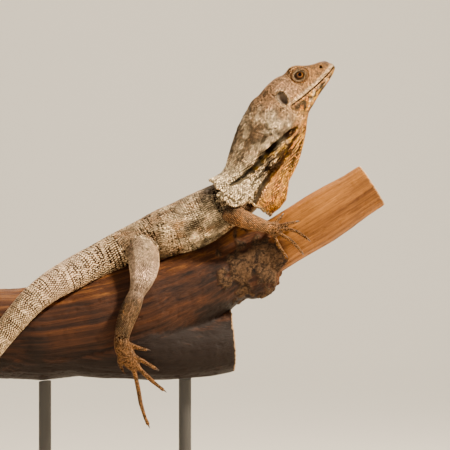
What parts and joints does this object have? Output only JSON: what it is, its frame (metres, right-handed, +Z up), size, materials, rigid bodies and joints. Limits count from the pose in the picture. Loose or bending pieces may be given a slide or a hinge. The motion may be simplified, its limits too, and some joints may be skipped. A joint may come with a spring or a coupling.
{
  "type": "frilled lizard on a branch",
  "caption": "Life-size frilled lizard lying along a cut branch, head raised and pleated frill folded over its shoulders, held up by a plain display stand.",
  "frame": {"origin": "centre of the stand's underside, on the floor", "axes": "+X the way the lizard faces along the branch, +Z up, -Y its right side"},
  "size_m": [0.5103, 0.16, 0.4725],
  "materials": {
    "scaly_skin": "scaly, satin",
    "frill_skin": "thin pleated scaly skin, satin",
    "eyeball": "wet gloss",
    "branch_wood": "barkless weathered wood with a rough knot",
    "powder_coated_steel": "fine matt powder coat"
  },
  "bodies": {
    "root": {"head": "scaly_skin", "neck": "scaly_skin", "torso": "scaly_skin", "tail_1": "scaly_skin", "tail_2": "scaly_skin", "tail_3": "scaly_skin", "tail_4": "scaly_skin", "thigh_right": "scaly_skin", "shank_right": "scaly_skin", "foot_right": "scaly_skin", "upper_arm_right": "scaly_skin", "forearm_right": "scaly_skin", "hand_right": "scaly_skin", "thigh_left": "scaly_skin", "shank_left": "scaly_skin", "foot_left": "scaly_skin", "upper_arm_left": "scaly_skin", "forearm_left": "scaly_skin", "hand_left": "scaly_skin", "frill_right": "frill_skin", "frill_left": "frill_skin", "eye_right": "eyeball", "eye_left": "eyeball", "perch_branch": "branch_wood", "stand_base": "powder_coated_steel", "stand_rod_1": "powder_coated_steel", "stand_rod_2": "powder_coated_steel"}
  },
  "joints": []
}
